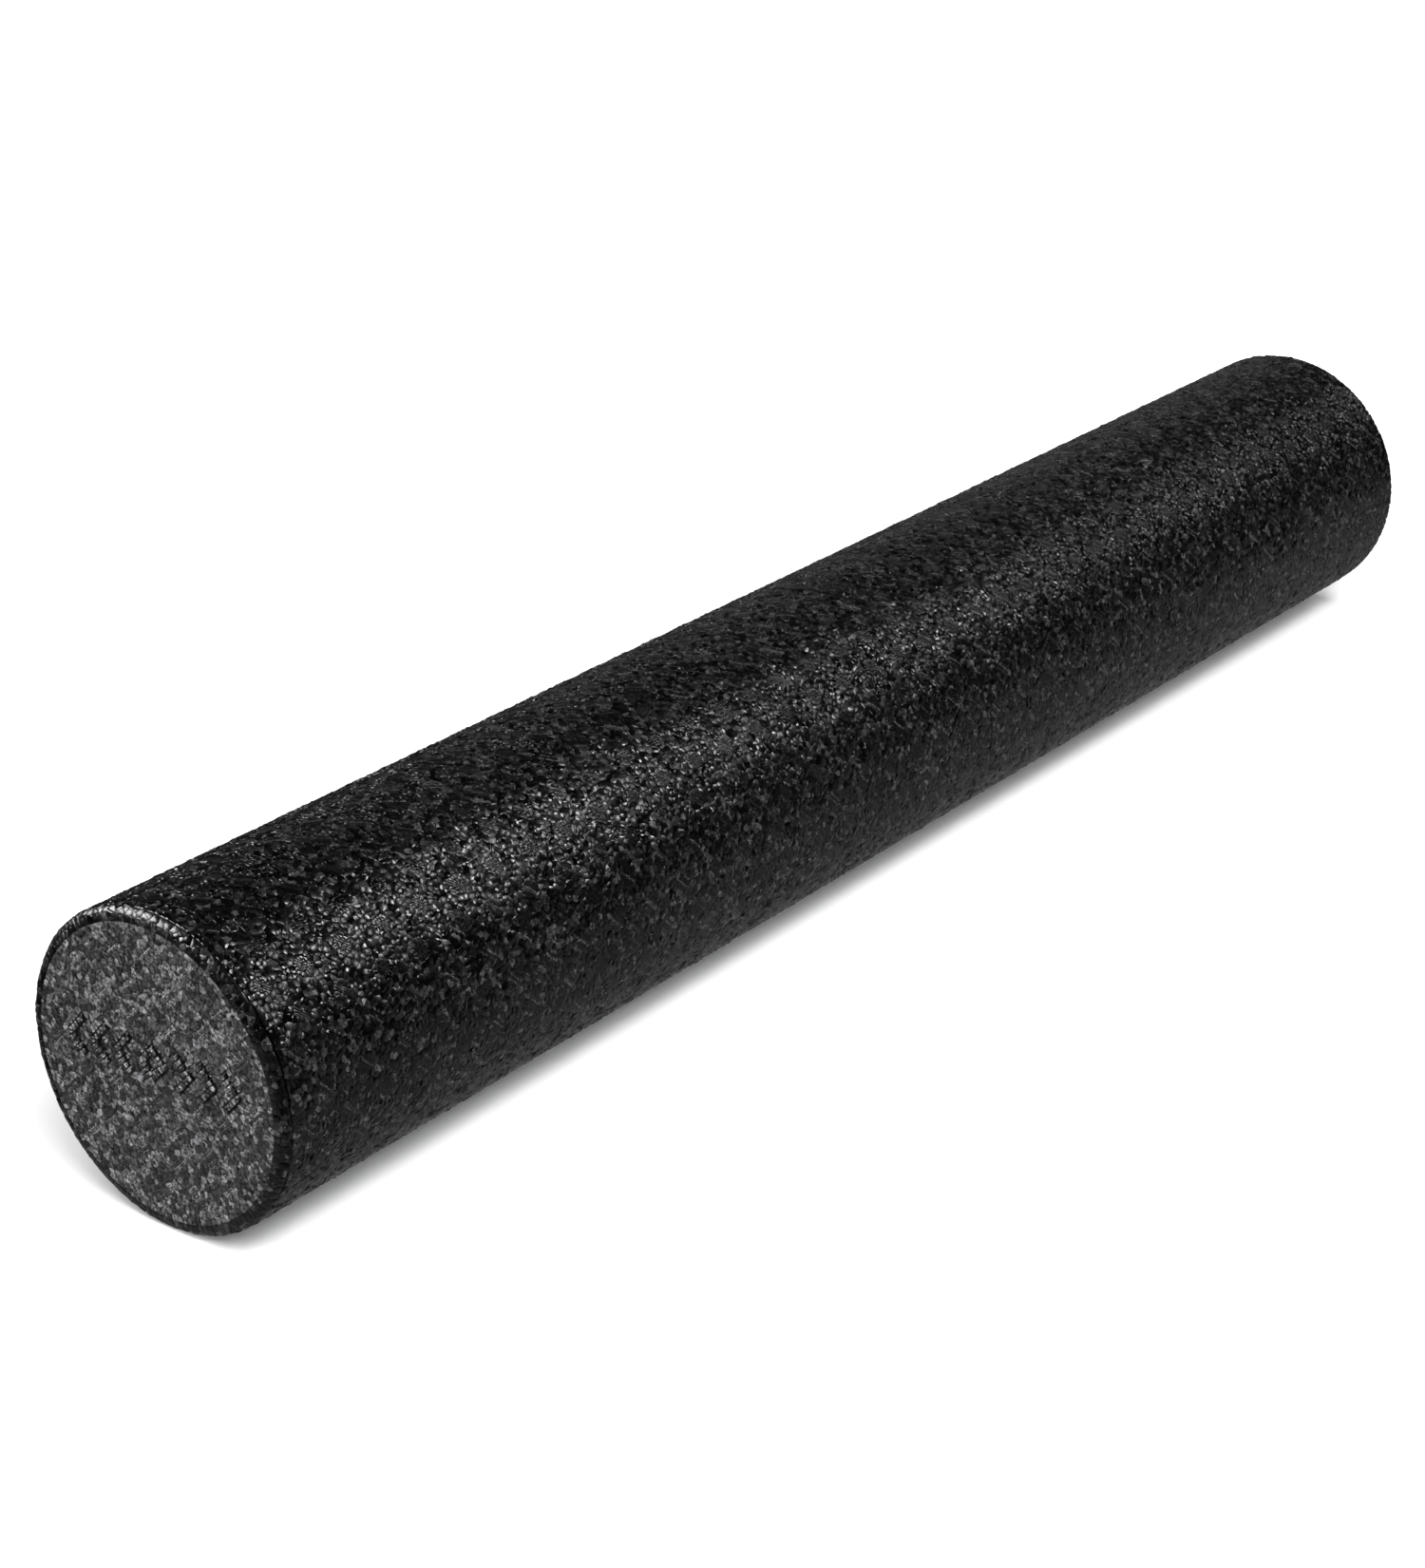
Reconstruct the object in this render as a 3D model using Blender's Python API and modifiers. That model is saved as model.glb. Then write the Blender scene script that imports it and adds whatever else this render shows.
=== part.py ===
"""Round bead-foam exercise roller, 36 in long and 5.5 in across, lying on the floor.

The roller's axis runs along Y, +Z is up, and the floor is at z = 0 under the middle of the
barrel. The marked end faces -Y. Each end is a shallow cap with a rounded rim, and the moulded
joint line runs round the barrel where the rim begins.
"""
import math

import bmesh
import bpy
from mathutils import Matrix

MM = 0.001

# Driving dimensions, in metres.
ROLLER_LENGTH = 914.4 * MM      # 36 in, from one end face to the other
ROLLER_DIAMETER = 140.7 * MM
CAP_DEPTH = 4.3 * MM            # from an end face to the joint line
RIM_WIDTH = 5.8 * MM            # the rounded rim's reach across the end face
RIM_DEPTH = 3.8 * MM            # the rounded rim's reach along the side
JOINT_GAP = 0.3 * MM            # room between the barrel and each cap

# The raised pattern on the marked end: a diamond between outward chevrons.
RELIEF_HEIGHT = 0.8 * MM
RELIEF_ROOT = 1.0 * MM          # how far the pattern reaches into the cap it stands on
RELIEF_RISE = 5.5 * MM          # the pattern's middle above the roller's axis
RELIEF_HALF_HEIGHT = 8.3 * MM
STROKE = 4.2 * MM               # width of a chevron's arm along the row
CHEVRON_REACH = 7.4 * MM        # how far a chevron's tip leads its ends
CHEVRON_FIRST_TIP = 22.2 * MM   # from the middle of the pattern
CHEVRON_PITCH = 13.0 * MM
CHEVRONS_PER_SIDE = 3
DIAMOND_HALF_WIDTH = 8.3 * MM
DIAMOND_HOLE = 0.45             # the diamond's opening, as a share of its outline

# Facets round the barrel. Flats lie at the top, the bottom and both sides, and they touch
# the real round outline, so the roller measures its full diameter across the flats.
SIDES = 64
RIM_STEPS = 6
HALF_FACET = math.pi / SIDES
AXIS_HEIGHT = ROLLER_DIAMETER / 2
SIDE_RADIUS = AXIS_HEIGHT / math.cos(HALF_FACET)

FOAM_COLOUR = (0.022, 0.022, 0.024, 1.0)
FOAM_ROUGHNESS = 0.5
MERGE = 0.00001
SHARP_ANGLE = math.radians(35)

COLLECTION = "foam_roller"
CUTTERS = "foam_roller_cutters"


def clear_scene():
    """Remove whatever the open file holds."""
    for obj in list(bpy.data.objects):
        bpy.data.objects.remove(obj)


def collection(name):
    """A new collection of that name under the scene's own."""
    made = bpy.data.collections.new(name)
    bpy.context.scene.collection.children.link(made)
    return made


def foam_material(name):
    """Black expanded bead foam with a satin moulded skin."""
    material = bpy.data.materials.new(name)
    material.use_nodes = True
    shader = material.node_tree.nodes["Principled BSDF"]
    shader.inputs["Base Color"].default_value = FOAM_COLOUR
    shader.inputs["Roughness"].default_value = FOAM_ROUGHNESS
    shader.inputs["Metallic"].default_value = 0.0
    material.diffuse_color = FOAM_COLOUR
    return material


def placed(name, mesh, group, place):
    """An object with this mesh, in this collection, at this place."""
    obj = bpy.data.objects.new(name, mesh)
    group.objects.link(obj)
    obj.matrix_world = place
    return obj


def shade_round(mesh):
    """Smooth shading that keeps the edges of flat faces crisp."""
    mesh.shade_smooth()
    mesh.set_sharp_from_angle(angle=SHARP_ANGLE)


def turned(name, profile, group, place):
    """A solid turned about its own Z from (radius, height) points, top to bottom."""
    points = []
    for radius, height in profile:
        points.append((radius * math.cos(HALF_FACET), radius * math.sin(HALF_FACET), height))
    edges = [(i, i + 1) for i in range(len(points) - 1)]
    mesh = bpy.data.meshes.new(name)
    mesh.from_pydata(points, edges, [])
    obj = placed(name, mesh, group, place)
    screw = obj.modifiers.new("turn", "SCREW")
    screw.axis = "Z"
    screw.steps = SIDES
    screw.render_steps = SIDES
    screw.use_merge_vertices = True
    screw.merge_threshold = MERGE
    screw.use_smooth_shade = True
    return obj


def cap_profile():
    """Radius and height of an end cap, from the middle of its outer face to its back."""
    flat_radius = SIDE_RADIUS - RIM_WIDTH
    points = [(0.0, CAP_DEPTH)]
    for step in range(RIM_STEPS + 1):
        angle = math.pi / 2 * (1 - step / RIM_STEPS)
        radius = flat_radius + RIM_WIDTH * math.cos(angle)
        height = CAP_DEPTH - RIM_DEPTH + RIM_DEPTH * math.sin(angle)
        points.append((radius, height))
    points.append((SIDE_RADIUS, JOINT_GAP))
    points.append((0.0, JOINT_GAP))
    return points


def end_place(side):
    """The frame of an end cap: its own Z points out of the end, its own X stays along X."""
    joint = side * (ROLLER_LENGTH / 2 - CAP_DEPTH)
    move = Matrix.Translation((0.0, joint, AXIS_HEIGHT))
    return move @ Matrix.Rotation(-side * math.pi / 2, 4, "X")


def build_barrel(group, material):
    """The long round body between the two joint lines."""
    length = ROLLER_LENGTH - 2 * CAP_DEPTH
    bpy.ops.mesh.primitive_cylinder_add(
        vertices=SIDES,
        radius=SIDE_RADIUS,
        depth=length,
        location=(0.0, 0.0, AXIS_HEIGHT),
        rotation=(math.pi / 2, HALF_FACET, 0.0),
    )
    barrel = bpy.context.object
    barrel.name = "barrel"
    barrel.data.name = "barrel"
    for owner in list(barrel.users_collection):
        owner.objects.unlink(barrel)
    group.objects.link(barrel)
    shade_round(barrel.data)
    barrel.data.materials.append(material)
    return barrel


def build_cap(name, side, group, material):
    """One end: a flat face, a rounded rim and a flat back at the joint line."""
    cap = turned(name, cap_profile(), group, end_place(side))
    cap.data.materials.append(material)
    return cap


def chevron_outline(tip, side):
    """Corners of one chevron that points away from the middle of the pattern."""
    corners = [
        (tip, 0.0),
        (tip - CHEVRON_REACH, RELIEF_HALF_HEIGHT),
        (tip - CHEVRON_REACH - STROKE, RELIEF_HALF_HEIGHT),
        (tip - STROKE, 0.0),
        (tip - CHEVRON_REACH - STROKE, -RELIEF_HALF_HEIGHT),
        (tip - CHEVRON_REACH, -RELIEF_HALF_HEIGHT),
    ]
    return [(side * x, y) for x, y in corners]


def diamond_outline(share):
    """Corners of the diamond, or of its opening when the share is under one."""
    across = DIAMOND_HALF_WIDTH * share
    up = RELIEF_HALF_HEIGHT * share
    return [(across, 0.0), (0.0, up), (-across, 0.0), (0.0, -up)]


def relief_outlines():
    """All outlines of the raised pattern, about its own middle."""
    outlines = [diamond_outline(1.0), diamond_outline(DIAMOND_HOLE)]
    for index in range(CHEVRONS_PER_SIDE):
        tip = CHEVRON_FIRST_TIP + index * CHEVRON_PITCH
        outlines.append(chevron_outline(tip, 1))
        outlines.append(chevron_outline(tip, -1))
    return outlines


def outline_solid(name, outlines, thickness, group, place):
    """A flat solid cut to closed outlines, centred on its own XY plane."""
    curve = bpy.data.curves.new(name, "CURVE")
    curve.dimensions = "2D"
    curve.fill_mode = "BOTH"
    curve.extrude = thickness / 2
    for outline in outlines:
        spline = curve.splines.new("POLY")
        spline.points.add(len(outline) - 1)
        for point, (x, y) in zip(spline.points, outline):
            point.co = (x, y, 0.0, 1.0)
        spline.use_cyclic_u = True
    flat = placed(name + "_outline", curve, group, place)
    graph = bpy.context.evaluated_depsgraph_get()
    mesh = bpy.data.meshes.new_from_object(flat.evaluated_get(graph))
    welded = bmesh.new()
    welded.from_mesh(mesh)
    bmesh.ops.remove_doubles(welded, verts=welded.verts, dist=MERGE)
    bmesh.ops.recalc_face_normals(welded, faces=welded.faces)
    welded.to_mesh(mesh)
    welded.free()
    solid = placed(name, mesh, group, flat.matrix_world.copy())
    bpy.data.objects.remove(flat)
    return solid


def add_relief(cap, cutters):
    """Raise the pattern out of the marked end's face."""
    thickness = RELIEF_HEIGHT + RELIEF_ROOT
    middle = CAP_DEPTH + RELIEF_HEIGHT - thickness / 2
    place = end_place(-1) @ Matrix.Translation((0.0, RELIEF_RISE, middle))
    pattern = outline_solid("relief_pattern", relief_outlines(), thickness, cutters, place)
    pattern.hide_render = True
    pattern.display_type = "WIRE"
    join = cap.modifiers.new("raise_pattern", "BOOLEAN")
    join.operation = "UNION"
    join.object = pattern


def main():
    clear_scene()
    parts = collection(COLLECTION)
    cutters = collection(CUTTERS)
    build_barrel(parts, foam_material("barrel_foam"))
    near = build_cap("near_end_cap", -1, parts, foam_material("near_end_foam"))
    build_cap("far_end_cap", 1, parts, foam_material("far_end_foam"))
    bpy.context.view_layer.update()
    add_relief(near, cutters)


main()
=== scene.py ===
"""The looks of a black bead-foam roller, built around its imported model.

The foam's skin is a mosaic of moulded beads. Each bead is real geometry: a slightly tilted top with a lip
and a crevice all round. The same mosaic carries the round vent marks with their ridges, the raised pattern
on the near end, the ring round each flat face and the joint lines. Lengths are in metres.
"""

import math

import bpy
import numpy as np
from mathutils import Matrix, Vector
from mathutils.geometry import delaunay_2d_cdt

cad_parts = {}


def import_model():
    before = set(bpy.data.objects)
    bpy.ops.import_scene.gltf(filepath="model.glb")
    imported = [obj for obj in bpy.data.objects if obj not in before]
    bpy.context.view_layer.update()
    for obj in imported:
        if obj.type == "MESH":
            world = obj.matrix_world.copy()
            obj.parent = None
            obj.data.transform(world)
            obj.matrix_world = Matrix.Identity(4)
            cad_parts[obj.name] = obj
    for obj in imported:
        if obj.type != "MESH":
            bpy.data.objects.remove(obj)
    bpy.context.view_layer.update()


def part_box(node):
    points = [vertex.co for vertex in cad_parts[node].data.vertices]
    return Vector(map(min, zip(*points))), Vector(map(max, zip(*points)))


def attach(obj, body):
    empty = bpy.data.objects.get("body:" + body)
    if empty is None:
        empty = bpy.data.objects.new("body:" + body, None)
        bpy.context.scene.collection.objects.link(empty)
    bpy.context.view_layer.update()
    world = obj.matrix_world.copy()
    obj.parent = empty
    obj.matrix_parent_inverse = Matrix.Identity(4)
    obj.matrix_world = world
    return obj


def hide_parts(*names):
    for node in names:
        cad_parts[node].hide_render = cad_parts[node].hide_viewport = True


MM = 0.001
SEED = 20

# Foam beads.
BARREL_BEAD = 2.8 * MM          # mean distance between beads
END_BEAD = 3.1 * MM
BEAD_JITTER = 0.50              # how far a bead may stray from an even layout, in bead distances
BEAD_RELAX = 0.5                # how far a bead then moves to the middle of its own cell
SHOULDER = 0.46 * MM            # from a bead's corner to the shoulder of its top
MOST_SHOULDER = 0.5             # but at most this share of the way to the bead's middle
MOST_LIP = 0.35                 # the same for the lip of the crevice
STEP_GROOVE = 2.5               # how much wider a crevice is along the raised pattern and the joint lines
CREVICE_SPREAD = 0.4            # share by which the crevices' depth varies from place to place
LIP_SHADE = 0.5                 # how dark the painted shade on a lip is, where the bottom of a crevice is 1
STEP_SHADE = 0.9                # the same along the raised pattern and the joint lines
MOST_TILT = 2                   # a bead's slope is at most this many times the spread of the slopes
WAVES = 32                      # gentle waves that the moulded skin rolls in
WAVE_LENGTHS = (7.0 * MM, 16.0 * MM)
WAVE_HEIGHT = 0.025 * MM
MERGE = 0.04 * MM               # corners closer than this become one
MARGIN_BEADS = 4                # how many beads are repeated or mirrored beyond a sheet's edge
STRIP_SLACK = 0.01 * MM         # corners this little beyond the barrel's joint lines still count
DISC_SLACK = 0.4 * MM           # the same for the joint line round an end
SAME_PLACE = 1e-7               # middles closer than this, in millimetres, count as one
SLIVER = 1e-14                  # twice the area below which a triangle is left out
TINY = 1e-9                     # stands in for a length of zero where one divides by it

# Vent marks: round patches of parallel ridges.
VENT_RADIUS = 3.9 * MM
VENT_RIDGE = 1.1 * MM           # distance from ridge to ridge
VENT_STEP = 2.0 * MM            # length of the pieces that a ridge is made from
VENT_SLANT = math.radians(45)
VENT_CLEARANCE = 0.9 * MM       # from a vent's edge to the nearest loose bead's middle
BARREL_VENT_PITCH = 22.5 * MM   # along the roller
BARREL_VENT_ROWS = 28           # round the roller
# On the ends: rings of marks, each with its radius, its count and the angle of its first mark.
END_VENT_RINGS = (
    (12.0 * MM, 4, 0.0),
    (25.0 * MM, 8, 22.5),
    (39.0 * MM, 12, 15.0),
    (54.0 * MM, 16, 0.0),
)

# Ends: rounded rim, ring round the flat face and joint line.
RIM_WIDTH = 5.8 * MM            # the rim's reach across the end face
RIM_DEPTH = 3.8 * MM            # the rim's reach along the side
RIM_ARC = 7.6 * MM              # length of the rim's quarter ellipse
JOINT_DEPTH = 0.55 * MM
JOINT_SPACE = 0.9 * MM          # from a joint line to the nearest bead's middle on the barrel
END_JOINT_SPACE = 1.0 * MM      # the same on an end
FACE_RING_DEPTH = 0.22 * MM
FACE_RING_REACH = 0.15 * MM     # corners this close to the ring are part of it
FACE_RING_SPACE = 1.2 * MM      # from the ring to the middles of the beads along it
FACE_RING_CLEARANCE = 2.6 * MM  # from the ring to the nearest loose bead's middle
RING_BEAD = 3.0 * MM            # distance between the beads along the ring
RING_BEAD_JITTER = 0.25         # how far such a bead may stray along the ring, in bead distances
RIM_FINISH_AND_PAINTED_LIGHT = 0.05                 # how far the rim goes from the barrel's finish to the end faces' rougher finish and painted light

# The raised pattern on the near end.
RELIEF_HEIGHT = 0.8 * MM
RELIEF_RISE = 5.5 * MM
RELIEF_HALF_HEIGHT = 8.3 * MM
STROKE = 4.2 * MM
CHEVRON_REACH = 7.4 * MM
CHEVRON_FIRST_TIP = 22.2 * MM
CHEVRON_PITCH = 13.0 * MM
CHEVRONS_PER_SIDE = 3
DIAMOND_HALF_WIDTH = 8.3 * MM
DIAMOND_HOLE = 0.45
ARM_STEP = 2.4 * MM             # length of the pieces that a raised arm is made from
RELIEF_CLEARANCE = 4.2 * MM     # vent marks keep this far from the pattern's box
RAISED_CLEARANCE = 3.4 * MM     # loose beads keep this far from the raised cells
BESIDE_CLEARANCE = 2.4 * MM     # and this far from the cells along the pattern's edge
NEAREST_CELLS = 1.2 * MM        # the pattern's cells are at least this far apart
NEAREST_TO_ARM = 0.95           # cells along the edge keep this many arm widths off the arms' middle lines

# Camera: where it stands and looks, and its lens on a 36 mm sensor.
CAMERA_AT = Vector((0.8892, -1.2610, 0.7246))
CAMERA_AIM = Vector((-0.55358, 0.72518, -0.40947))
CAMERA_LENS = 78.563
CAMERA_SENSOR = 36

# Kinds of cell: a bead on the barrel, a piece of a vent's ridge, a piece of the raised pattern, and a bead
# pressed flat on an end. For each kind: how far its middle rises over its shoulder, how far its lip is from
# its corner and below its top, how deep the crevice round it is, and the spread of its level and its slope.
BEAD, VENT, RAISED, PRESSED = 0, 1, 2, 3
DOME = np.array((0.00, 0.02, 0.02, 0.02)) * MM
LIP = np.array((0.13, 0.22, 0.22, 0.22)) * MM
LIP_DROP = np.array((0.08, 0.06, 0.03, 0.05)) * MM
CREVICE = np.array((0.40, 0.32, 0.60, 0.22)) * MM
LIFT = np.array((0.04, 0.00, 0.00, 0.02)) * MM
TILT = np.array((0.142, 0.0, 0.0, 0.08))

# The foam's greys. Each pair is for the darkest and the palest bead or place. A higher power makes more
# beads dark.
BARREL_GREY = (0.0004, 0.027)
BARREL_GREY_POWER = 6.0
# The end faces' paler grey is painted light, for the light that the faces catch.
END_GREY = (0.012, 0.122)
END_GREY_POWER = 2.0
GRAIN_SIZE = 1.3 * MM
GRAIN_DETAIL = 3.0
GRAIN_NOISE = (0.36, 0.66)      # the part of the noise that the grain uses
GRAIN_SHADE = (0.0, 2.4)
CLOUD_SIZE = 12 * MM
CLOUD_DETAIL = 2.0
CLOUD_SHADE = (0.75, 1.25)
# Painted shade in the crevices: the grey at a crevice's bottom is multiplied by this.
CREVICE_SHADE = 0.02
BLUE_TINT = 1.03

# The foam's gloss and its fine wrinkles.
BEAD_ROUGHNESS = (0.15, 0.37)   # from the glossiest bead to the dullest
END_ROUGHER = 0.2               # how much rougher the end faces are
SPECULAR_LEVEL = 0.4
WRINKLE_SIZE = 0.8 * MM
WRINKLE_DETAIL = 2.0
WRINKLE_HEIGHT = 0.3 * MM
WRINKLE_STRENGTH = (0.24, 1.0)  # on the barrel and on the end faces

# The studio's floor and walls. The floor's own glow rises with the distance from the middle of the roller.
FLOOR_REACH = 9.0
FLOOR_GREY = 0.9
FLOOR_ROUGHNESS = 0.9
FLOOR_GLOW = (0.10, 0.85)
FLOOR_GLOW_DISTANCE = (0.35, 1.3)
WALL_GLOW = 1.0
SURROUND_GLOW = 0.02

# Sheets that are seen in reflections only: cards just under the floor, with their corners and glow, and
# upright strips behind the roller, with their reach from left to right, their reach in height and their
# glow.
CARD_HEIGHT = -0.001
CARDS = (
    ("right_card", ((0.0, -1.1), (0.12, -0.47), (0.5, -0.47), (0.5, 1.2), (-0.1, 1.2), (-0.1, -1.1)), 0.28),
    ("left_card", ((-0.4, -0.455), (-0.09, -0.455), (-0.09, -0.28), (-0.4, -0.28)), 0.50),
)
STRIP_DISTANCE = 2.5
STRIPS = (
    ("low_strip", (-3.4, -0.8), (0.05, 0.40), 0.42),
    ("high_strip", (-3.0, -0.6), (1.00, 1.30), 0.75),
)

# Lamps. The sky lamp has a direction, a width in degrees and a strength. Each softbox has a place, a point
# that it faces, a width, a height and a power in watts.
KEY = ("key", (-0.15, -0.45, 0.88), 100, 0.90 * math.pi)
FILL = ("fill", (1.7, -1.2, 2.2), (0.1, 0, 0), 1.6, 1.6, 85)
BACK = ("back", (0.745, 0.31, 1.06), (0.0, -0.4, 0.1), 0.28, 0.28, 8.6)
REAR = ("rear", (0.81, 1.9, 1.285), (0.0, 0.2, 0.1), 0.42, 0.42, 3.6)
LEFT = ("left", (-0.52, -0.77, 0.50), (0.0, -0.457, 0.13), 0.56, 0.40, 14.0)


# --------------------------------------------------------------------------------------------------
# The bead mosaic, laid out flat and then wrapped on the roller
# --------------------------------------------------------------------------------------------------

class Layout:
    """Middles of the mosaic's cells on a flat sheet, with what each cell belongs to."""

    def __init__(self, ring_radius=None):
        self.ring_radius = ring_radius
        self.groups = 0
        self.parts = []

    def add(self, points, kind, level=0.0, loose=False, group=None, skin=0.0):
        """Adds cells. Cells of one group have no border between them. The finish goes from the barrel's dark
        one, 0, to the end faces' rougher one, 1, whose paler grey is painted light."""
        points = np.asarray(points, float).reshape(-1, 2)
        count = len(points)
        group = np.arange(count) if group is None else np.asarray(group)
        self.parts.append((
            points, group + self.groups, np.full(count, level), np.full(count, loose), np.full(count, kind),
            np.broadcast_to(skin, count)))
        self.groups += int(group.max()) + 1 if count else 0

    def close(self):
        """Joins all that was added."""
        points, *values = zip(*self.parts)
        self.points = np.vstack(points)
        self.group, self.level, self.loose, self.kind, self.skin = (np.concatenate(v) for v in values)
        return self

    def on_ring(self, corners):
        """Whether each corner lies on the ring round a flat face."""
        if self.ring_radius is None:
            return np.zeros(len(corners), bool)
        return np.abs(np.hypot(corners[:, 0], corners[:, 1]) - self.ring_radius) < FACE_RING_REACH


def bead_grid(width, height, pitch, rng):
    """Jittered rows of bead middles that fill a rectangle and repeat at its left and right sides."""
    columns = round(width / pitch)
    rows = round(height / (pitch * math.sqrt(0.75)))
    column, row = np.meshgrid(np.arange(columns), np.arange(rows))
    x = (column + 0.25 + 0.5 * (row % 2)) * width / columns
    y = (row + 0.5) * height / rows
    points = np.stack([x.ravel(), y.ravel()], axis=1)
    return points + rng.uniform(-BEAD_JITTER, BEAD_JITTER, points.shape) * pitch


def clear_of(points, others, distance, girth=None):
    """The points that are at least a distance from all the others."""
    keep = np.ones(len(points), bool)
    for other in others:
        across = points[:, 0] - other[0]
        if girth:
            across = (across + girth / 2) % girth - girth / 2
        keep &= across ** 2 + (points[:, 1] - other[1]) ** 2 > distance ** 2
    return points[keep]


def vent_cells():
    """The cells of one vent mark about its middle, and the ridge that each belongs to."""
    along = np.array((math.cos(VENT_SLANT), math.sin(VENT_SLANT)))
    across = np.array((-along[1], along[0]))
    ridges = int(VENT_RADIUS / VENT_RIDGE)
    points, group = [], []
    for ridge in range(-ridges, ridges + 1):
        offset = ridge * VENT_RIDGE
        reach = math.sqrt(VENT_RADIUS ** 2 - offset ** 2)
        count = max(2, round(2 * reach / VENT_STEP))
        steps = ((np.arange(count) + 0.5) / count - 0.5) * 2 * reach
        points.append(steps[:, None] * along + offset * across)
        group.append(np.full(count, ridge + ridges))
    return np.vstack(points), np.concatenate(group)


def add_vents(layout, centres, skin=0.0):
    """Puts a vent mark at each of the places."""
    points, group = vent_cells()
    ridges = int(group.max()) + 1
    centres = np.asarray(centres)
    everything = (centres[:, None, :] + points[None, :, :]).reshape(-1, 2)
    groups = (np.arange(len(centres))[:, None] * ridges + group[None, :]).ravel()
    layout.add(everything, VENT, group=groups, skin=skin)


def circumcentres(points, triangles):
    """Centre of the circle through each triangle's corners."""
    a, b, c = (points[triangles[:, k]] for k in range(3))
    ab, ac = b - a, c - a
    cross = 2 * (ab[:, 0] * ac[:, 1] - ab[:, 1] * ac[:, 0])
    ab2, ac2 = (ab ** 2).sum(1), (ac ** 2).sum(1)
    x = (ac[:, 1] * ab2 - ab[:, 1] * ac2) / cross
    y = (ab[:, 0] * ac2 - ac[:, 0] * ab2) / cross
    return a + np.stack([x, y], axis=1)


def triangulate(points):
    """Delaunay triangles over flat points, each counter-clockwise."""
    faces = delaunay_2d_cdt([Vector(p) for p in points / MM], [], [], 0, SAME_PLACE)[2]
    triangles = np.array([f for f in faces if len(f) == 3], int)
    a, b, c = (points[triangles[:, k]] for k in range(3))
    turn = (b - a)[:, 0] * (c - a)[:, 1] - (b - a)[:, 1] * (c - a)[:, 0]
    triangles[turn < 0] = triangles[turn < 0][:, ::-1]
    return triangles[np.abs(turn) > SLIVER]


class Strip:
    """A flat sheet that closes on itself left to right, with joint lines at its top and bottom."""

    def __init__(self, girth, half_height):
        self.girth = girth
        self.half_height = half_height

    def spread(self, points):
        """The points, with mirrored ones beyond both joint lines and repeated ones beyond the sides."""
        margin = MARGIN_BEADS * BARREL_BEAD
        ids = np.arange(len(points))
        parts, names = [points], [ids]
        for side in (-1, 1):
            near = side * points[:, 1] > self.half_height - margin
            parts.append(points[near] * (1, -1) + (0, 2 * side * self.half_height))
            names.append(ids[near] + (2 + side) * len(points))
        points, ids = np.vstack(parts), np.concatenate(names)
        left, right = points[:, 0] < margin, points[:, 0] > self.girth - margin
        everything = np.vstack([points, points[left] + (self.girth, 0), points[right] - (self.girth, 0)])
        return everything, np.concatenate([ids, ids[left], ids[right]])

    def keep(self, corners):
        """Which corners belong to the sheet itself."""
        inside = np.abs(corners[:, 1]) < self.half_height + STRIP_SLACK
        return inside & (corners[:, 0] >= 0) & (corners[:, 0] < self.girth)

    def snap(self, corners):
        """Puts corners on the nearest joint line."""
        return np.stack([corners[:, 0], np.sign(corners[:, 1]) * self.half_height], 1)


class Disc:
    """A flat disc with a joint line round it."""

    def __init__(self, radius):
        self.radius = radius
        self.girth = 2 * math.pi * radius

    def spread(self, points):
        """The points, with mirrored ones beyond the joint line."""
        reach = np.hypot(points[:, 0], points[:, 1])
        near = reach > self.radius - MARGIN_BEADS * END_BEAD
        flipped = points[near] * (2 * self.radius / reach[near] - 1)[:, None]
        ids = np.arange(len(points))
        return np.vstack([points, flipped]), np.concatenate([ids, ids[near] + len(points)])

    def keep(self, corners):
        """Which corners belong to the disc itself."""
        return np.hypot(corners[:, 0], corners[:, 1]) < self.radius + DISC_SLACK

    def snap(self, corners):
        """Puts corners on the joint line."""
        return corners * (self.radius / np.hypot(corners[:, 0], corners[:, 1]))[:, None]


def cells_of(points, sheet):
    """Triangles between cell middles, by the cells' numbers, the corner that each makes, and the middles."""
    everything, ids = sheet.spread(points)
    triangles = triangulate(everything)
    corners = circumcentres(everything, triangles)
    used = sheet.keep(corners) & (ids[triangles] < len(points)).any(1)
    return ids[triangles[used]], corners[used], everything[triangles[used]]


def relax(layout, sheet):
    """Moves each loose bead towards the middle of its own cell."""
    triangles, corners, middles = cells_of(layout.points, sheet)
    offset = corners[:, None, :] - middles
    total = np.zeros_like(layout.points)
    count = np.zeros(len(layout.points))
    for k in range(3):
        own = triangles[:, k] < len(layout.points)
        np.add.at(total, triangles[own, k], offset[own, k])
        np.add.at(count, triangles[own, k], 1)
    shift = total / np.maximum(count, 1)[:, None] * BEAD_RELAX
    layout.points = layout.points + shift * layout.loose[:, None]


def merged_corners(places, left, right):
    """For each corner, the first of the corners that it is merged with."""
    close = np.linalg.norm(places[left] - places[right], axis=1) < MERGE
    label = np.arange(len(places))
    while True:
        low = np.minimum(label[left[close]], label[right[close]])
        before = label.copy()
        np.minimum.at(label, left[close], low)
        np.minimum.at(label, right[close], low)
        if (label == before).all():
            return label


def waves(flat, girth, rng):
    """Gentle random waves over a flat sheet, which repeat at its left and right sides."""
    total = np.zeros(len(flat))
    for _ in range(WAVES):
        direction = rng.uniform(0, math.pi)
        wave_number = 2 * math.pi / rng.uniform(*WAVE_LENGTHS)
        turns = round(wave_number * math.cos(direction) * girth / (2 * math.pi))
        across = turns * 2 * math.pi / girth * flat[:, 0]
        along = wave_number * math.sin(direction) * flat[:, 1]
        total += np.sin(across + along + rng.uniform(0, 2 * math.pi))
    return total * WAVE_HEIGHT * math.sqrt(2 / WAVES)


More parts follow.
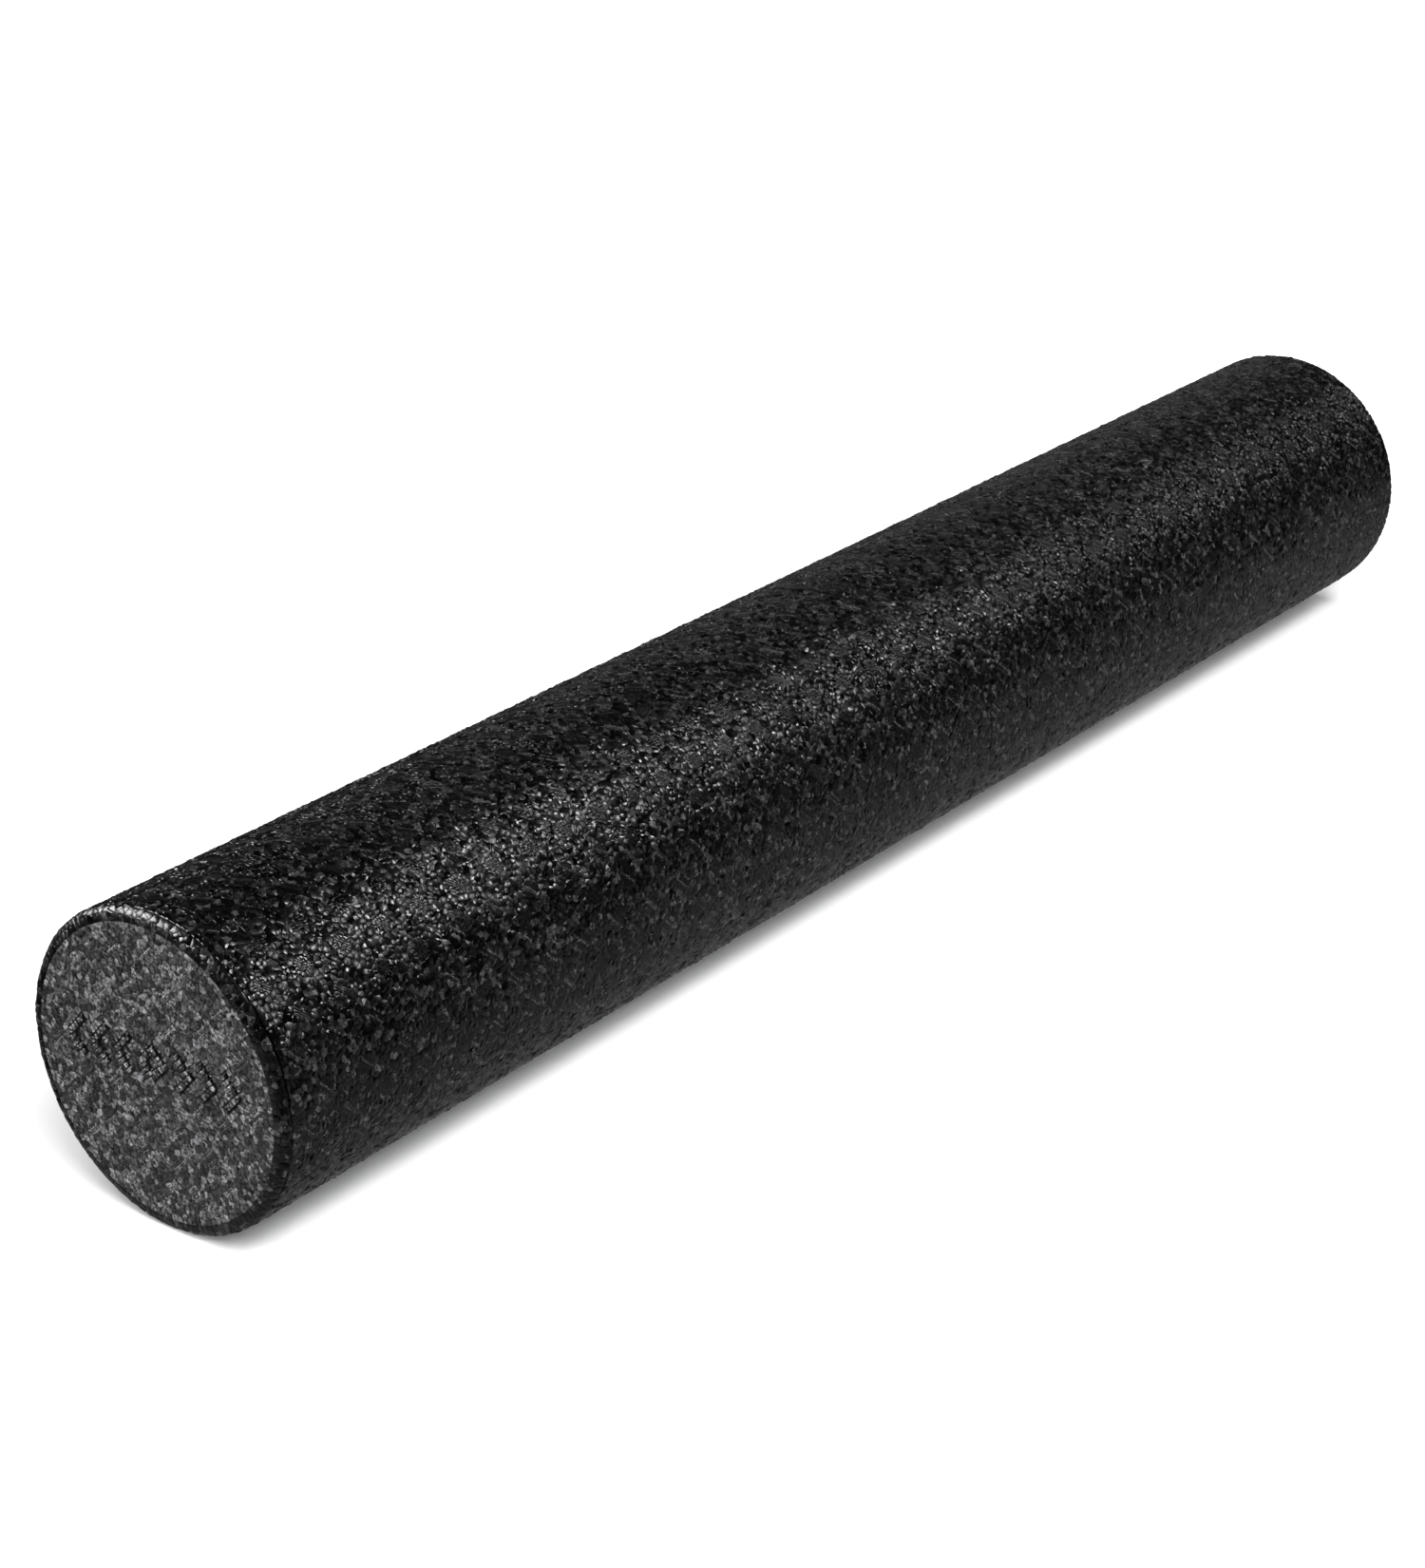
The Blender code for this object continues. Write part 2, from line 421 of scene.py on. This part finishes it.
def mosaic(name, layout, sheet, wrap, rng):
    """Builds the mesh of a mosaic. Each cell is a fan about its middle, with bands down to its border."""
    cells = len(layout.points)
    relax(layout, sheet)
    triangles, corners, middles = cells_of(layout.points, sheet)
    count = len(triangles)
    own = triangles < cells
    cell = np.where(own, triangles, 0)
    edge_corner = ~own.all(1)
    corners[edge_corner] = sheet.snap(corners[edge_corner])

    # Levels: each corner lies below the lowest of its cells, unless they are all one group.
    level = np.where(own, layout.level[cell], np.inf).min(1)
    group = np.where(own, layout.group[cell], -1)
    inside = (group == group[:, :1]).all(1)
    depth = np.where(own, CREVICE[layout.kind[cell]], 0.0).max(1)
    depth = depth * (1 + CREVICE_SPREAD * rng.uniform(-1, 1, count))
    depth = np.where(inside, 0.0, depth)
    depth = np.where(layout.on_ring(corners), FACE_RING_DEPTH, depth)
    depth = np.where(edge_corner, JOINT_DEPTH, depth)

    # Shoulders and lips: one of each for each corner of each cell, drawn in towards the cell's middle. They
    # leave a wider groove along the joint lines and the raised pattern.
    to_middle = middles - corners[:, None, :]
    length = np.maximum(np.linalg.norm(to_middle, axis=2), TINY)[:, :, None]
    groove = edge_corner | (np.where(own, layout.level[cell], level[:, None]).max(1) > level)
    wider = np.where(groove, STEP_GROOVE, 1.0)[:, None, None]
    shoulder = corners[:, None, :] + to_middle * np.minimum(wider * SHOULDER / length, MOST_SHOULDER)
    lip_reach = wider * LIP[layout.kind[cell]][:, :, None]
    lip = corners[:, None, :] + to_middle * np.minimum(lip_reach / length, MOST_LIP)
    top = layout.level + rng.normal(0, 1, cells) * LIFT[layout.kind]
    tilt = np.clip(rng.normal(0, 1, (cells, 2)), -MOST_TILT, MOST_TILT) * TILT[layout.kind][:, None]
    shoulder_height = top[cell] + (tilt[cell] * (shoulder - middles)).sum(2)
    lip_drop = LIP_DROP[layout.kind[cell]] * ~inside[:, None]
    lip_height = top[cell] + (tilt[cell] * (lip - middles)).sum(2) - lip_drop

    # Edges between neighbouring cells: each has a triangle to its left and one to its right.
    size = int(triangles.max()) + 1
    start, end = triangles.ravel(), triangles[:, [1, 2, 0]].ravel()
    left = np.repeat(np.arange(count), 3)
    key = start * size + end
    order = np.argsort(key)
    twin = order[np.minimum(np.searchsorted(key[order], end * size + start), len(key) - 1)]
    paired = key[twin] == end * size + start
    right = left[twin]
    label = merged_corners(wrap(corners, level - depth), left[paired], right[paired])

    # Point numbers: cell middles, then corners, shoulders and lips.
    corner_at = cells + label
    seats = (label[:, None] * size + triangles).ravel()
    first, number = np.unique(seats, return_index=True, return_inverse=True)[1:]
    number = cells + count + number.reshape(count, 3)
    flat = np.vstack([layout.points, corners, shoulder.reshape(-1, 2)[first], lip.reshape(-1, 2)[first]])
    height = np.concatenate([
        top + DOME[layout.kind], level - depth, shoulder_height.ravel()[first], lip_height.ravel()[first]])
    height = height + waves(flat, sheet.girth, rng)
    # Painted shade for the crevices: 0 on the tops, 1 at a crevice's bottom, darker lips along the joint
    # lines and the raised pattern.
    lip_shade = np.repeat(np.where(groove, STEP_SHADE, LIP_SHADE), 3)
    painted_shade = np.concatenate([np.zeros(cells), ~inside, np.zeros(len(first)), lip_shade[first]])
    start_left, end_left = number.ravel(), number[:, [1, 2, 0]].ravel()
    start_right, end_right = end_left[twin], start_left[twin]
    lips = len(first)

    fan = paired & (start < cells) & (label[left] != label[right])
    same = fan & (end < cells)
    same[same] = layout.group[start[same]] == layout.group[end[same]]
    band = fan & ~same
    bridge = same & (start < end)
    three = np.vstack([
        np.stack([start, start_right, start_left], 1)[fan],
        np.stack([start_right + lips, corner_at[right], end_right + lips], 1)[bridge],
        np.stack([end_left + lips, corner_at[left], start_left + lips], 1)[bridge],
    ])
    four = np.vstack([
        np.stack([start_right, start_right + lips, start_left + lips, start_left], 1)[band],
        np.stack([start_right + lips, corner_at[right], corner_at[left], start_left + lips], 1)[band],
        np.stack([start_right, end_right, end_left, start_left], 1)[bridge],
        np.stack([start_right, start_right + lips, end_right + lips, end_right], 1)[bridge],
        np.stack([end_left, end_left + lips, start_left + lips, start_left], 1)[bridge],
    ])
    parts = (fan, bridge, bridge, band, band, bridge, bridge, bridge)
    owner = np.concatenate([start[part] for part in parts])
    open_edge = fan & (end >= cells)
    rims = closed_loops(corner_at[left[open_edge]], corner_at[right[open_edge]])
    tone, gloss = rng.random((2, layout.groups))
    creases = np.stack([start_right, start_left], 1)[band] + lips
    return make_mesh(name, wrap(flat, height), three, four, rims, creases, {
        "bead_tone": tone[layout.group[owner]],
        "bead_gloss": gloss[layout.group[owner]],
        "end_finish_and_painted_light": layout.skin[owner],
    }, painted_shade)


def closed_loops(starts, ends):
    """Chains edges into closed loops of point numbers."""
    follow = dict(zip(starts.tolist(), ends.tolist()))
    loops = []
    while follow:
        first, step = follow.popitem()
        loop = [first]
        while step != first:
            loop.append(step)
            step = follow.pop(step)
        loops.append(loop)
    return loops


def make_mesh(name, points, three, four, rims, creases, face_values, painted_shade):
    """A smooth mesh, creased at the lips, with the values that its material reads, among them the painted
    shade of the crevices. The joint lines' loops of points are closed with flat faces."""
    used = np.zeros(len(points), bool)
    used[three.ravel()] = True
    used[four.ravel()] = True
    number = np.cumsum(used) - 1
    loops = np.concatenate([number[three.ravel()], number[four.ravel()]] + [number[rim] for rim in rims])
    sizes = np.concatenate([np.full(len(three), 3), np.full(len(four), 4), [len(rim) for rim in rims]])
    sizes = sizes.astype(np.int32)
    mesh = bpy.data.meshes.new(name)
    mesh.vertices.add(int(used.sum()))
    mesh.vertices.foreach_set("co", points[used].astype(np.float32).ravel())
    mesh.loops.add(len(loops))
    mesh.loops.foreach_set("vertex_index", loops.astype(np.int32))
    mesh.polygons.add(len(sizes))
    mesh.polygons.foreach_set("loop_start", (np.cumsum(sizes) - sizes).astype(np.int32))
    smooth = np.ones(len(sizes), bool)
    smooth[len(sizes) - len(rims):] = False
    mesh.polygons.foreach_set("use_smooth", smooth)
    mesh.update(calc_edges=True)
    ends = np.zeros(2 * len(mesh.edges), np.int32)
    mesh.edges.foreach_get("vertices", ends)
    edge_keys = np.sort(ends.reshape(-1, 2).astype(np.int64), axis=1) @ (len(points), 1)
    crease_keys = np.sort(number[creases], axis=1) @ (len(points), 1)
    sharp = mesh.attributes.new("sharp_edge", "BOOLEAN", "EDGE")
    sharp.data.foreach_set("value", np.isin(edge_keys, crease_keys))
    for label, values in face_values.items():
        layer = mesh.attributes.new(label, "FLOAT", "FACE")
        layer.data.foreach_set("value", np.concatenate([values, np.zeros(len(rims))]).astype(np.float32))
    layer = mesh.attributes.new("bead_painted_shade", "FLOAT", "POINT")
    layer.data.foreach_set("value", painted_shade[used].astype(np.float32))
    return mesh


# --------------------------------------------------------------------------------------------------
# What goes on each piece
# --------------------------------------------------------------------------------------------------

def barrel_layout(sheet, rng):
    """Loose beads with staggered vent marks between them."""
    rows = BARREL_VENT_ROWS
    columns = int(2 * sheet.half_height / BARREL_VENT_PITCH)
    centres = []
    for row in range(rows):
        for column in range(columns):
            along = (column - (columns - 1) / 2 + 0.25 * (-1) ** row) * BARREL_VENT_PITCH
            centres.append(((row + 0.5) * sheet.girth / rows, along))
    beads = bead_grid(sheet.girth, 2 * sheet.half_height, BARREL_BEAD, rng) - (0, sheet.half_height)
    beads[:, 1] = np.clip(beads[:, 1], JOINT_SPACE - sheet.half_height, sheet.half_height - JOINT_SPACE)
    layout = Layout()
    layout.add(clear_of(beads, centres, VENT_RADIUS + VENT_CLEARANCE, sheet.girth), BEAD, loose=True)
    add_vents(layout, centres)
    return layout.close()


def arm_lines():
    """The middle lines of the raised pattern's arms, with their widths and whether they have a free end."""
    arms = []
    width = STROKE * RELIEF_HALF_HEIGHT / math.hypot(CHEVRON_REACH, RELIEF_HALF_HEIGHT)
    for side in (-1, 1):
        for k in range(CHEVRONS_PER_SIDE):
            tip = CHEVRON_FIRST_TIP + k * CHEVRON_PITCH
            for up in (-1, 1):
                start = np.array((side * (tip - STROKE / 2), RELIEF_RISE))
                end = start + (-side * CHEVRON_REACH, up * RELIEF_HALF_HEIGHT)
                arms.append((start, end, width, True))
    half = DIAMOND_HALF_WIDTH * (1 + DIAMOND_HOLE) / 2
    width = DIAMOND_HALF_WIDTH * (1 - DIAMOND_HOLE) * math.sqrt(0.5)
    corners = [np.array((half * x, half * z + RELIEF_RISE)) for x, z in ((1, 0), (0, 1), (-1, 0), (0, -1))]
    for k in range(4):
        arms.append((corners[k], corners[(k + 1) % 4], width, False))
    return arms


def distance_to(points, start, end):
    """How far each point is from a straight line between two points."""
    along = end - start
    share = np.clip((points - start) @ along / (along @ along), 0, 1)
    return np.linalg.norm(points - start - share[:, None] * along, axis=1)


def thinned(points, distance):
    """Leaves out each point that is too close to one before it."""
    kept = []
    for point in points:
        if all(np.hypot(*(point - other)) >= distance for other in kept):
            kept.append(point)
    return np.array(kept)


def relief_cells():
    """Cells of the raised arms, and the beads along them that make the arms' edges come out straight."""
    raised, beside, tips = [], [], []
    arms = arm_lines()
    for start, end, width, free in arms:
        length = np.hypot(*(end - start))
        along = (end - start) / length
        across = np.array((-along[1], along[0]))
        steps = round(length / ARM_STEP)
        stops = np.arange(steps) / (steps - 0.5) if free else np.arange(steps + 1) / steps
        middle = start + stops[:, None] * (end - start)
        raised.append(middle)
        for side in (-1, 1):
            beside.append(middle + side * width * across)
            if free:
                beside.append(start[None, :] + (side * STROKE, 0.0))
        if free:
            tips.append(2 * end - middle[-1])
    raised = thinned(np.vstack(raised), NEAREST_CELLS)
    beside = np.vstack(beside)
    for start, end, width, _ in arms:
        beside = beside[distance_to(beside, start, end) > NEAREST_TO_ARM * width]
    return raised, thinned(np.vstack([tips, beside]), NEAREST_CELLS)


def end_layout(face_radius, sheet, with_relief, rng):
    """Beads over a flat face and its rounded rim, with rings of vent marks and a line round the face."""
    layout = Layout(ring_radius=face_radius)
    side = 2 * sheet.radius
    beads = bead_grid(side, side, END_BEAD, rng) - side / 2
    reach = np.hypot(beads[:, 0], beads[:, 1])
    off_ring = np.abs(reach - face_radius) > FACE_RING_CLEARANCE
    beads = beads[(reach < sheet.radius - END_JOINT_SPACE) & off_ring]
    centres = []
    for radius, count, first in END_VENT_RINGS:
        for k in range(count):
            angle = math.radians(first) + 2 * math.pi * k / count
            centres.append(np.array((radius * math.cos(angle), radius * math.sin(angle))))
    if with_relief:
        half_width = CHEVRON_FIRST_TIP + (CHEVRONS_PER_SIDE - 1) * CHEVRON_PITCH
        box = np.array((half_width, RELIEF_HALF_HEIGHT)) + RELIEF_CLEARANCE
        centres = [c for c in centres if (np.abs(c - (0, RELIEF_RISE)) > box).any()]
        raised, beside = relief_cells()
        layout.add(raised, RAISED, level=RELIEF_HEIGHT, skin=1.0)
        layout.add(beside, PRESSED, skin=1.0)
        beads = clear_of(beads, raised, RAISED_CLEARANCE)
        beads = clear_of(beads, beside, BESIDE_CLEARANCE)
    beads = clear_of(beads, centres, VENT_RADIUS + VENT_CLEARANCE)
    on_face = np.hypot(beads[:, 0], beads[:, 1]) < face_radius
    layout.add(beads[on_face], PRESSED, loose=True, skin=1.0)
    layout.add(beads[~on_face], PRESSED, loose=True, skin=RIM_FINISH_AND_PAINTED_LIGHT)
    add_vents(layout, centres, skin=1.0)
    count = round(2 * math.pi * face_radius / RING_BEAD)
    jitter = rng.uniform(-RING_BEAD_JITTER, RING_BEAD_JITTER, count)
    angle = (np.arange(count) + jitter) * 2 * math.pi / count
    around = np.stack([np.cos(angle), np.sin(angle)], 1)
    layout.add(around * (face_radius - FACE_RING_SPACE), PRESSED, skin=1.0)
    layout.add(around * (face_radius + FACE_RING_SPACE), PRESSED, skin=RIM_FINISH_AND_PAINTED_LIGHT)
    return layout.close()


def wrap_barrel(radius, axis_height):
    """Rolls a flat sheet round the roller's axis."""
    def wrap(flat, height):
        angle = flat[:, 0] / radius
        out = radius + height
        return np.stack([out * np.sin(angle), flat[:, 1], axis_height + out * np.cos(angle)], 1)
    return wrap


def wrap_end(face_radius, face_at, axis_height, turn):
    """Lays a flat disc on an end face and bends its outer part round the rim. The turn is 1 for the near end
    and -1 for the far one, which is turned half round."""
    def wrap(flat, height):
        reach = np.hypot(flat[:, 0], flat[:, 1])
        around = flat / np.maximum(reach, TINY)[:, None]
        bend = np.clip((reach - face_radius) / RIM_ARC, 0, 1) * math.pi / 2
        sine, cosine = np.sin(bend), np.cos(bend)
        lift = height / np.hypot(RIM_DEPTH * sine, RIM_WIDTH * cosine)
        out = np.minimum(reach, face_radius) + RIM_WIDTH * sine + lift * RIM_DEPTH * sine
        y = face_at + RIM_DEPTH - RIM_DEPTH * cosine - lift * RIM_WIDTH * cosine
        y = y + np.maximum(reach - face_radius - RIM_ARC, 0)
        return np.stack([turn * out * around[:, 0], turn * y, axis_height + out * around[:, 1]], 1)
    return wrap


# --------------------------------------------------------------------------------------------------
# Material
# --------------------------------------------------------------------------------------------------

def link(tree, source, target):
    """Joins an output of a node to an input of another."""
    tree.links.new(source, target)


def value_of(tree, name):
    """The output of a mesh value by its name."""
    node = tree.nodes.new("ShaderNodeAttribute")
    node.attribute_name = name
    return node.outputs["Fac"]


def between(tree, source, low, high, start=0.0, end=1.0):
    """Maps one range, by default 0 to 1, onto another."""
    node = tree.nodes.new("ShaderNodeMapRange")
    node.inputs["From Min"].default_value = start
    node.inputs["From Max"].default_value = end
    node.inputs["To Min"].default_value = low
    node.inputs["To Max"].default_value = high
    link(tree, source, node.inputs["Value"])
    return node.outputs["Result"]


def maths(tree, operation, first, second):
    """The result of a sum on two outputs or numbers."""
    node = tree.nodes.new("ShaderNodeMath")
    node.operation = operation
    for socket, value in zip(node.inputs, (first, second)):
        if isinstance(value, (int, float)):
            socket.default_value = value
        else:
            link(tree, value, socket)
    return node.outputs["Value"]


def mixed(tree, share, first, second):
    """Goes from the first output to the second as the share goes from 0 to 1."""
    node = tree.nodes.new("ShaderNodeMix")
    link(tree, share, node.inputs["Factor"])
    link(tree, first, node.inputs["A"])
    link(tree, second, node.inputs["B"])
    return node.outputs["Result"]


def noise(tree, size, detail):
    """Noise of a given size in object space, about 0.5."""
    place = tree.nodes.new("ShaderNodeTexCoord")
    node = tree.nodes.new("ShaderNodeTexNoise")
    node.inputs["Scale"].default_value = 1 / size
    node.inputs["Detail"].default_value = detail
    link(tree, place.outputs["Object"], node.inputs["Vector"])
    return node.outputs["Fac"]


def new_material(name):
    """A new material and its shader."""
    material = bpy.data.materials.new(name)
    material.use_nodes = True
    return material, material.node_tree.nodes["Principled BSDF"]


def foam_material():
    """Black foam: beads of different greys and gloss, painted shade in the crevices and fine wrinkles. The
    end faces are rougher than the rest and have a paler grey, which is painted light."""
    material, shader = new_material("bead_foam")
    tree = material.node_tree
    end_finish_and_painted_light = value_of(tree, "end_finish_and_painted_light")
    painted_shade = value_of(tree, "bead_painted_shade")
    tone = value_of(tree, "bead_tone")
    grain = noise(tree, GRAIN_SIZE, GRAIN_DETAIL)
    cloud = noise(tree, CLOUD_SIZE, CLOUD_DETAIL)

    barrel_grey = between(tree, maths(tree, "POWER", tone, BARREL_GREY_POWER), *BARREL_GREY)
    end_grey = between(tree, maths(tree, "POWER", tone, END_GREY_POWER), *END_GREY)
    # The end faces' paler grey is painted light.
    grey = mixed(tree, end_finish_and_painted_light, barrel_grey, end_grey)
    grey = maths(tree, "MULTIPLY", grey, between(tree, grain, *GRAIN_SHADE, *GRAIN_NOISE))
    grey = maths(tree, "MULTIPLY", grey, between(tree, cloud, *CLOUD_SHADE))
    # Painted shade in the crevices.
    grey = maths(tree, "MULTIPLY", grey, between(tree, painted_shade, 1.0, CREVICE_SHADE))
    colour = tree.nodes.new("ShaderNodeCombineColor")
    for channel, factor in (("Red", 1.0), ("Green", 1.0), ("Blue", BLUE_TINT)):
        link(tree, maths(tree, "MULTIPLY", grey, factor), colour.inputs[channel])
    link(tree, colour.outputs["Color"], shader.inputs["Base Color"])

    rough = between(tree, value_of(tree, "bead_gloss"), *BEAD_ROUGHNESS)
    rough = maths(tree, "ADD", rough, maths(tree, "MULTIPLY", end_finish_and_painted_light, END_ROUGHER))
    link(tree, rough, shader.inputs["Roughness"])
    shader.inputs["Specular IOR Level"].default_value = SPECULAR_LEVEL

    bump = tree.nodes.new("ShaderNodeBump")
    bump.inputs["Distance"].default_value = WRINKLE_HEIGHT
    link(tree, between(tree, end_finish_and_painted_light, *WRINKLE_STRENGTH), bump.inputs["Strength"])
    link(tree, noise(tree, WRINKLE_SIZE, WRINKLE_DETAIL), bump.inputs["Height"])
    link(tree, bump.outputs["Normal"], shader.inputs["Normal"])
    return material


def glowing(name, strength):
    """A plain white glow."""
    material, shader = new_material(name)
    shader.inputs["Base Color"].default_value = (0, 0, 0, 1)
    shader.inputs["Specular IOR Level"].default_value = 0.0
    shader.inputs["Emission Color"].default_value = (1, 1, 1, 1)
    shader.inputs["Emission Strength"].default_value = strength
    return material


def floor_material():
    """Plain white floor with a painted glow that rises away from the roller."""
    material, shader = new_material("floor")
    tree = material.node_tree
    shader.inputs["Base Color"].default_value = (FLOOR_GREY, FLOOR_GREY, FLOOR_GREY, 1)
    shader.inputs["Roughness"].default_value = FLOOR_ROUGHNESS
    shader.inputs["Specular IOR Level"].default_value = 0.0
    shader.inputs["Emission Color"].default_value = (1, 1, 1, 1)
    place = tree.nodes.new("ShaderNodeTexCoord")
    far = tree.nodes.new("ShaderNodeVectorMath")
    far.operation = "LENGTH"
    link(tree, place.outputs["Object"], far.inputs[0])
    glow = between(tree, far.outputs["Value"], *FLOOR_GLOW, *FLOOR_GLOW_DISTANCE)
    glow.node.interpolation_type = "SMOOTHSTEP"
    link(tree, glow, shader.inputs["Emission Strength"])
    return material


# --------------------------------------------------------------------------------------------------
# Scene
# --------------------------------------------------------------------------------------------------

def add_object(name, data):
    """A new object in the scene."""
    thing = bpy.data.objects.new(name, data)
    bpy.context.scene.collection.objects.link(thing)
    return thing


def facing(direction):
    """The turn that makes a lamp or a camera face in a direction."""
    return Vector(direction).to_track_quat("-Z", "Y").to_euler()


def add_piece(mesh, material, node):
    """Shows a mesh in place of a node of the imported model."""
    piece = add_object(mesh.name, mesh)
    mesh.materials.append(material)
    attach(piece, "root")
    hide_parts(node)


def add_softbox(name, at, aim, width, height, power):
    """A rectangular lamp that faces a point."""
    lamp = bpy.data.lights.new(name, "AREA")
    lamp.shape = "RECTANGLE"
    lamp.size = width
    lamp.size_y = height
    lamp.energy = power
    softbox = add_object(name, lamp)
    softbox.location = at
    softbox.rotation_euler = facing(Vector(aim) - Vector(at))
    return softbox


def add_sky_lamp(name, towards, width, strength):
    """A far lamp that covers a wide round part of the sky, in degrees."""
    lamp = bpy.data.lights.new(name, "SUN")
    lamp.angle = math.radians(width)
    lamp.energy = strength
    sky = add_object(name, lamp)
    sky.rotation_euler = facing(-Vector(towards))
    return sky


def add_stage_sheet(name, corners, material):
    """A flat sheet of the studio, given its corners."""
    mesh = bpy.data.meshes.new(name)
    mesh.from_pydata(corners, [], [tuple(range(len(corners)))])
    mesh.materials.append(material)
    sheet = add_object(name, mesh)
    return sheet


def floor_corners():
    """The corners of the studio's floor, counter-clockwise."""
    far = FLOOR_REACH
    return [(-far, -far, 0), (far, -far, 0), (far, far, 0), (-far, far, 0)]


def add_floor():
    """The white floor. The foam shows the reflections of the cards and not of the floor."""
    add_stage_sheet("floor", floor_corners(), floor_material()).visible_glossy = False


def add_cards():
    """The cards and strips that are seen in reflections only."""
    sheets = [(name, [(x, y, CARD_HEIGHT) for x, y in outline], glow) for name, outline, glow in CARDS]
    for name, (left, right), (low, high), glow in STRIPS:
        outline = [(left, low), (right, low), (right, high), (left, high)]
        sheets.append((name, [(x, STRIP_DISTANCE, z) for x, z in outline], glow))
    for name, outline, glow in sheets:
        sheet = add_stage_sheet(name, outline, glowing(name, glow))
        sheet.visible_camera = False
        sheet.visible_diffuse = False
        sheet.visible_shadow = False


def add_walls():
    """White walls round the floor: a backdrop that neither lights the roller nor shows in reflections."""
    corners = floor_corners()
    for side, name in enumerate(("front_wall", "right_wall", "back_wall", "left_wall")):
        start = corners[side]
        end = corners[(side + 1) % 4]
        outline = [start, end, (end[0], end[1], FLOOR_REACH), (start[0], start[1], FLOOR_REACH)]
        wall = add_stage_sheet(name, outline, glowing(name, WALL_GLOW))
        wall.visible_diffuse = False
        wall.visible_glossy = False
        wall.visible_shadow = False


def add_camera():
    """The camera, beyond the near end of the roller, to its right and above it."""
    data = bpy.data.cameras.new("camera")
    data.lens = CAMERA_LENS
    data.sensor_width = CAMERA_SENSOR
    camera = add_object("camera", data)
    camera.location = CAMERA_AT
    camera.rotation_euler = facing(CAMERA_AIM)
    bpy.context.scene.camera = camera


def add_light():
    """Plain soft studio light: a dim surround, a wide lamp overhead and a fill that both show in no
    reflection, and softboxes for the highlights along the roller and on the near rim."""
    world = bpy.data.worlds.new("surround")
    world.use_nodes = True
    background = world.node_tree.nodes["Background"]
    background.inputs["Color"].default_value = (1, 1, 1, 1)
    background.inputs["Strength"].default_value = SURROUND_GLOW
    bpy.context.scene.world = world
    add_sky_lamp(*KEY).visible_glossy = False
    add_softbox(*FILL).visible_glossy = False
    add_softbox(*BACK)
    add_softbox(*REAR)
    add_softbox(*LEFT).visible_diffuse = False


def main():
    """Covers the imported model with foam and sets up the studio."""
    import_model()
    low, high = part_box("barrel")
    radius = (high.x - low.x) / 2
    axis_height = (high.z + low.z) / 2
    half_barrel = (high.y - low.y) / 2
    far_low, far_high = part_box("far_end_cap")
    face_at = -far_high.y
    face_radius = radius - RIM_WIDTH
    land = far_high.y - far_low.y - RIM_DEPTH
    rng = np.random.default_rng(SEED)
    foam = foam_material()

    strip = Strip(2 * math.pi * radius, half_barrel)
    mesh = mosaic("barrel_foam", barrel_layout(strip, rng), strip, wrap_barrel(radius, axis_height), rng)
    add_piece(mesh, foam, "barrel")
    disc = Disc(face_radius + RIM_ARC + land)
    for name, node, turn in (("near_end_foam", "near_end_cap", 1), ("far_end_foam", "far_end_cap", -1)):
        layout = end_layout(face_radius, disc, node == "near_end_cap", rng)
        wrap = wrap_end(face_radius, face_at, axis_height, turn)
        add_piece(mosaic(name, layout, disc, wrap, rng), foam, node)

    add_floor()
    add_cards()
    add_walls()
    add_light()
    add_camera()
    bpy.context.scene.view_settings.view_transform = "Standard"


main()
